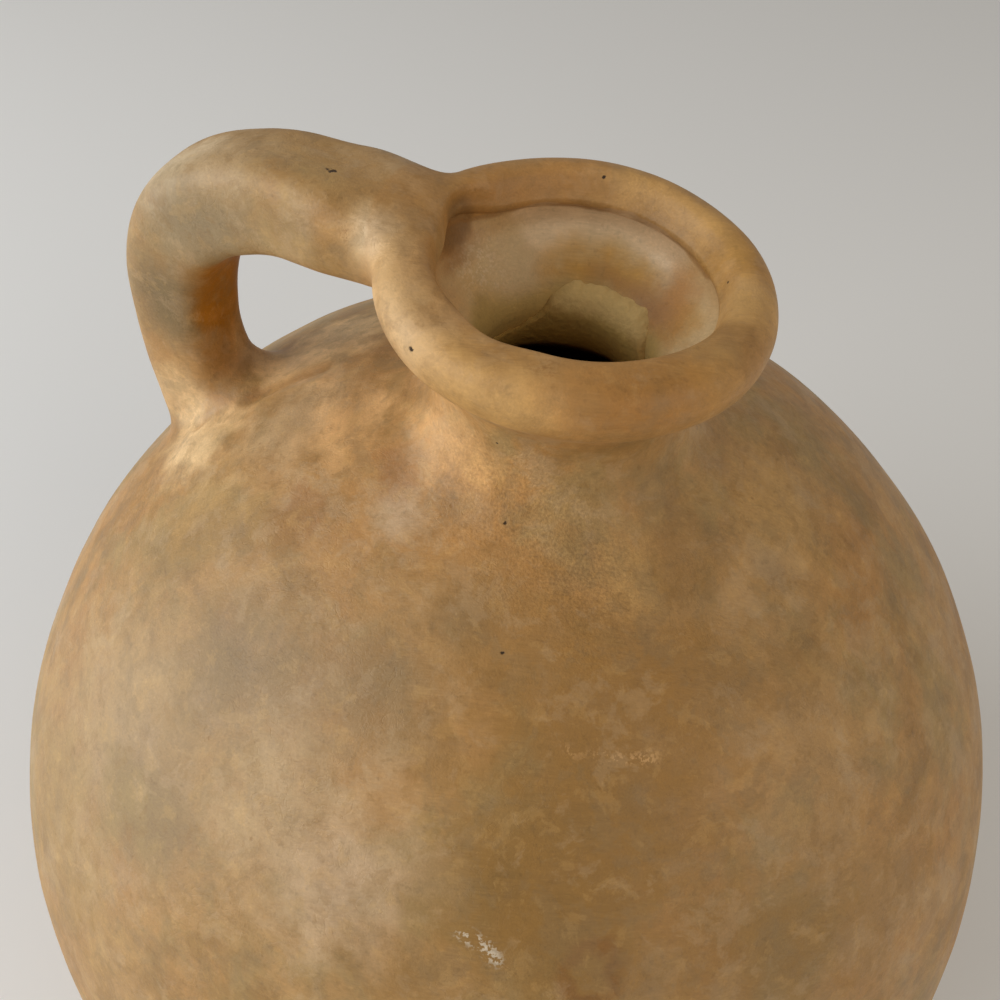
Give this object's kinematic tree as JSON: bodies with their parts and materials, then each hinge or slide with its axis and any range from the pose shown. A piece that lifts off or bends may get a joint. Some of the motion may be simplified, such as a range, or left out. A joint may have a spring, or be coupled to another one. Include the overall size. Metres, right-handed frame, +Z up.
{
  "type": "earthenware jug vase",
  "caption": "Round-bellied earthenware jug vase with a short waisted neck, a thick rolled rim and a pulled strap handle from the rim to the shoulder.",
  "frame": {"origin": "centre of the flat base, on the turning axis", "axes": "+Z up the turning axis, -X towards the handle"},
  "size_m": [0.22, 0.22, 0.2495],
  "materials": {
    "body_clay": "unglazed low-fired clay, burnished to a soft satin, mottled tan, ochre and rust",
    "luting_clay": "paler smeared clay, matt, with a torn edge"
  },
  "bodies": {
    "root": {"lower_body": "body_clay", "upper_body": "body_clay", "neck_collar": "body_clay", "rolled_rim": "body_clay", "throat_lute": "luting_clay", "handle": "body_clay", "handle_rim_lute": "luting_clay", "handle_foot_lute": "luting_clay"}
  },
  "joints": []
}
